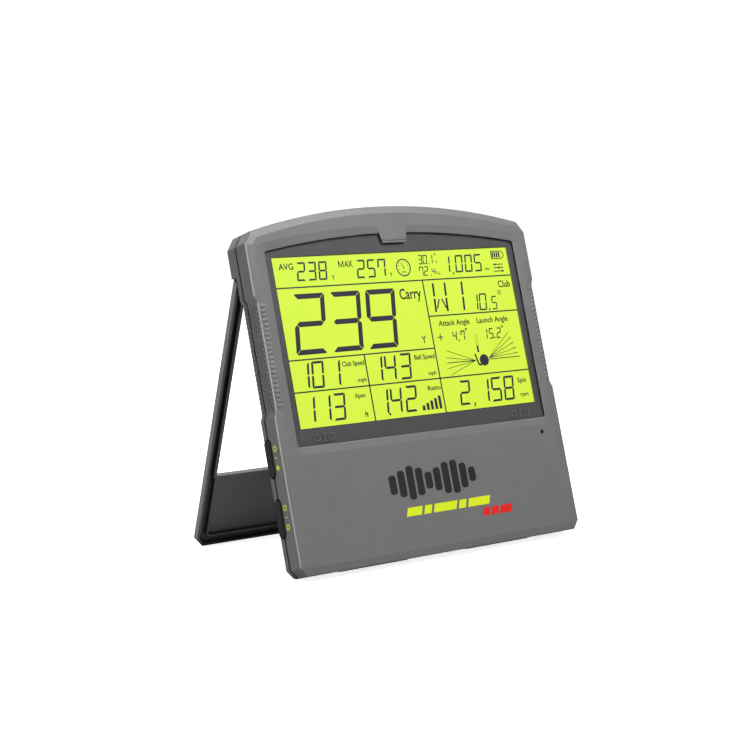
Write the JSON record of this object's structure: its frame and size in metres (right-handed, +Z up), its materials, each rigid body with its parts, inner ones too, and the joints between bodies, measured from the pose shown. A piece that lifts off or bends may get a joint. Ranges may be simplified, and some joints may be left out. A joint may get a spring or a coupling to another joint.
{
  "type": "launch monitor",
  "caption": "Portable golf launch monitor: a thin upright housing with a large lit segment display, two side rocker keys and a full-width fold-out stand.",
  "frame": {"origin": "centre of the object's footprint, on the surface it stands on, with the stand open", "axes": "+Z up, display facing -Y and leaning back, +X to the display's right as its reader sees it"},
  "size_m": [0.171, 0.0951, 0.1654],
  "materials": {
    "shell": "fine satin moulded grey plastic",
    "stand": "fine satin moulded charcoal plastic",
    "seal_rubber": "matt black silicone",
    "key_rubber": "soft-touch black rubber",
    "foot_rubber": "grippy dark rubber",
    "clear_lens": "clear hard-coated window",
    "lens_print": "dark grey printed border",
    "lcd": "lit yellow-green display",
    "white_film": "white diffusing film",
    "light_guide": "milky light guide",
    "steel": "brushed",
    "flex": "amber polyimide",
    "circuit_board": "green solder mask",
    "chip": "black moulded resin",
    "tin_can": "satin tin plate",
    "copper": "bare copper",
    "battery_wrap": "silver-grey film wrap",
    "foam": "closed-cell foam",
    "black_plastic": "moulded black plastic",
    "brass": "knurled brass",
    "black_screw": "black zinc"
  },
  "bodies": {
    "housing": {"front_shell": "shell", "rear_shell": "shell", "seam_gasket": "seal_rubber", "display_lens": "clear_lens", "lens_mask": "lens_print", "lens_tape": "foam", "lcd_glass": "lcd", "backlight_diffuser": "white_film", "backlight_guide": "light_guide", "lcd_bracket": "steel", "lcd_flex": "flex", "bracket_screws": "steel", "main_board": "circuit_board", "board_screws": "steel", "board_chips": "chip", "wireless_module": "tin_can", "air_sensor": "tin_can", "vent_duct": "seal_rubber", "vent_membrane": "white_film", "radar_board": "circuit_board", "radar_patches": "copper", "radar_shield": "tin_can", "radar_flex": "flex", "radar_screws": "steel", "battery_pack": "battery_wrap", "battery_pads": "foam", "sounder": "black_plastic", "charging_inlet": "tin_can", "switch_board": "circuit_board", "tact_switches": "tin_can", "rocker_pins": "steel", "thread_inserts": "brass", "shell_screws": "black_screw", "hinge_pins": "steel", "base_pads": "foot_rubber"},
    "stand": {"stand_frame": "stand", "stand_pads": "foot_rubber"},
    "upper_key": {"rocker_upper": "key_rubber"},
    "lower_key": {"rocker_lower": "key_rubber"}
  },
  "joints": [
    {"name": "stand_hinge", "type": "hinge", "parent": "housing", "child": "stand", "pos_m": [0, 0.00617, 0.13064], "axis": [1, 0, 0], "range_deg": [-33.87, 0]},
    {"name": "upper_key_rock", "type": "hinge", "parent": "housing", "child": "upper_key", "pos_m": [-0.081, -0.02338, 0.05353], "axis": [0, 0.9566, -0.2914], "range_deg": [-3, 3], "stiffness_Nm_per_rad": 0.2},
    {"name": "lower_key_rock", "type": "hinge", "parent": "housing", "child": "lower_key", "pos_m": [-0.081, -0.03139, 0.02722], "axis": [0, 0.9566, -0.2914], "range_deg": [-3, 3], "stiffness_Nm_per_rad": 0.2}
  ]
}
